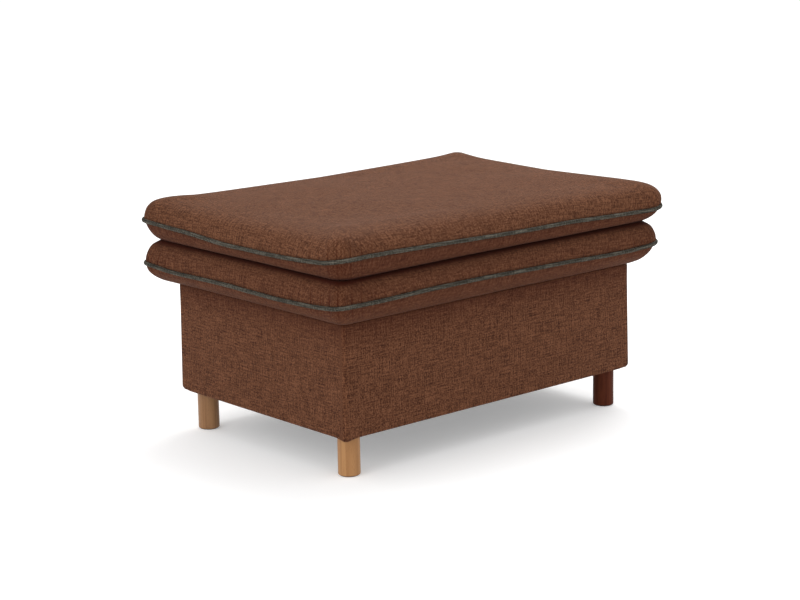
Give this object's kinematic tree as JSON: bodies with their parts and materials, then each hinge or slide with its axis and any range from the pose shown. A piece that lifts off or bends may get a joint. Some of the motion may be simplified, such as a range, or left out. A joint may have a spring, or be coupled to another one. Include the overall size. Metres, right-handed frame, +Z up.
{
  "type": "storage ottoman",
  "caption": "Cloth-covered storage box on round wooden legs with a hinged lid of two stacked piped cushions.",
  "frame": {"origin": "on the floor, under the middle of the box", "axes": "+X along the long side, -Y towards the front, +Y towards the hinges, +Z up"},
  "size_m": [0.8662, 0.624, 0.4668],
  "materials": {
    "base_cloth": "matte",
    "cushion_cloth": "matte",
    "piping_cloth": "matte",
    "lining_cloth": "matte",
    "dust_cloth": "matte",
    "wadding": "matte",
    "foam": "matte",
    "felt": "matte",
    "plywood": "matte",
    "light_wood": "satin",
    "dark_wood": "satin",
    "zinc_steel": "satin",
    "hinge_steel": "satin"
  },
  "bodies": {
    "base": {"front_panel": "plywood", "back_panel": "plywood", "left_panel": "plywood", "right_panel": "plywood", "panel_screws": "zinc_steel", "corner_blocks": "plywood", "tee_nuts": "zinc_steel", "long_cleats": "plywood", "short_cleats": "plywood", "floor_panel": "plywood", "floor_screws": "zinc_steel", "base_wadding": "wadding", "base_cover": "base_cloth", "storage_lining": "lining_cloth", "dust_cover": "dust_cloth", "leg_front_left": "light_wood", "leg_back_left": "light_wood", "leg_front_right": "dark_wood", "leg_back_right": "dark_wood", "leg_bolts": "zinc_steel", "leg_glides": "felt", "hinge_wall_leaves": "hinge_steel", "hinge_pins": "hinge_steel", "hinge_wall_screws": "zinc_steel", "stay_rail_left": "zinc_steel", "stay_rail_right": "zinc_steel", "stay_rail_screws": "zinc_steel"},
    "lid": {"lid_board": "plywood", "lid_underside_cloth": "lining_cloth", "hinge_lid_leaves": "hinge_steel", "hinge_lid_screws": "zinc_steel", "stay_bracket_left": "zinc_steel", "stay_bracket_right": "zinc_steel", "stay_pivot_rivets": "zinc_steel", "stay_bracket_screws": "zinc_steel", "waist_tape": "cushion_cloth", "lower_cushion_foam_core": "foam", "lower_cushion_fibre_wrap": "wadding", "lower_cushion_top_cover": "cushion_cloth", "lower_cushion_bottom_cover": "cushion_cloth", "lower_cushion_piping": "piping_cloth", "upper_cushion_foam_core": "foam", "upper_cushion_fibre_wrap": "wadding", "upper_cushion_top_cover": "cushion_cloth", "upper_cushion_bottom_cover": "cushion_cloth", "upper_cushion_piping": "piping_cloth"},
    "stay_arm_l": {"stay_arm_left": "zinc_steel", "stay_stud_left": "zinc_steel"},
    "stay_arm_r": {"stay_arm_right": "zinc_steel", "stay_stud_right": "zinc_steel"}
  },
  "joints": [
    {"name": "lid_hinge", "type": "hinge", "parent": "base", "child": "lid", "pos_m": [0, 0.2588, 0.2913], "axis": [-1, 0, 0], "range_deg": [0, 80]},
    {"name": "stay_pivot_left", "type": "hinge", "parent": "lid", "child": "stay_arm_l", "pos_m": [-0.34, 0.07295, 0.2518], "axis": [-1, 0, 0], "range_deg": [-160, 0]},
    {"name": "stay_pivot_right", "type": "hinge", "parent": "lid", "child": "stay_arm_r", "pos_m": [0.34, 0.07295, 0.2518], "axis": [-1, 0, 0], "range_deg": [-160, 0]}
  ],
  "couplings": [
    {"joint": "stay_pivot_left", "follows": "lid_hinge", "ratio": -2},
    {"joint": "stay_pivot_right", "follows": "lid_hinge", "ratio": -2}
  ]
}
